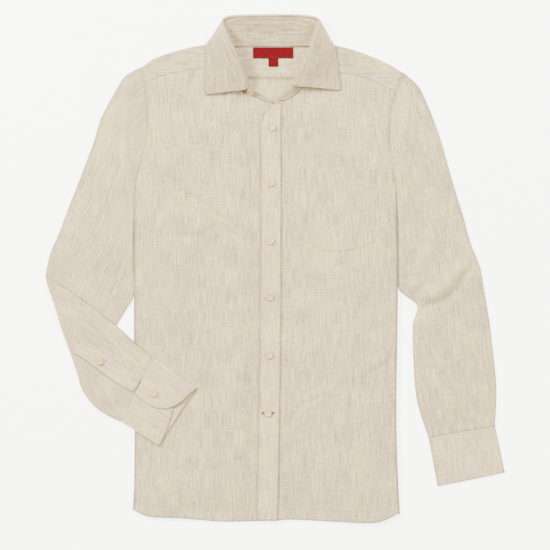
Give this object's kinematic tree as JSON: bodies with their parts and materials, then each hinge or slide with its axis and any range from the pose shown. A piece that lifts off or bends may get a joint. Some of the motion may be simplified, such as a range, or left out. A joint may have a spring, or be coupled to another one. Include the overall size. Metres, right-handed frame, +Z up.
{
  "type": "long-sleeve shirt",
  "caption": "Long-sleeve button-front shirt laid flat, front up, with a turned-down collar, a chest pocket, a button placket and one sleeve folded over the front.",
  "frame": {"origin": "middle of the laid shirt's bounding box, on the surface that it lies on", "axes": "+X towards the wearer's left (the viewer's right), +Y from the hem to the collar, +Z up from the surface"},
  "size_m": [0.7138, 0.7868, 0.0222],
  "materials": {
    "cloth": "beige melange plain weave, matte",
    "trim": "the same cloth with an interlining, matte",
    "button": "cream, satin",
    "label": "dark red woven tape, no marking"
  },
  "bodies": {
    "root": {"back": "cloth", "front_right": "cloth", "front_left": "cloth", "yoke": "cloth", "collar_stand": "trim", "collar_leaf": "trim", "placket_left": "trim", "pocket": "cloth", "sleeve_left": "cloth", "cuff_left": "trim", "sleeve_right": "cloth", "cuff_right": "trim", "gauntlet_right": "trim", "button_front_1": "button", "button_front_2": "button", "button_front_3": "button", "button_front_4": "button", "button_front_5": "button", "button_front_6": "button", "button_gauntlet": "button", "button_cuff": "button", "button_collar": "button", "neck_label": "label", "size_tab": "label"}
  },
  "joints": []
}
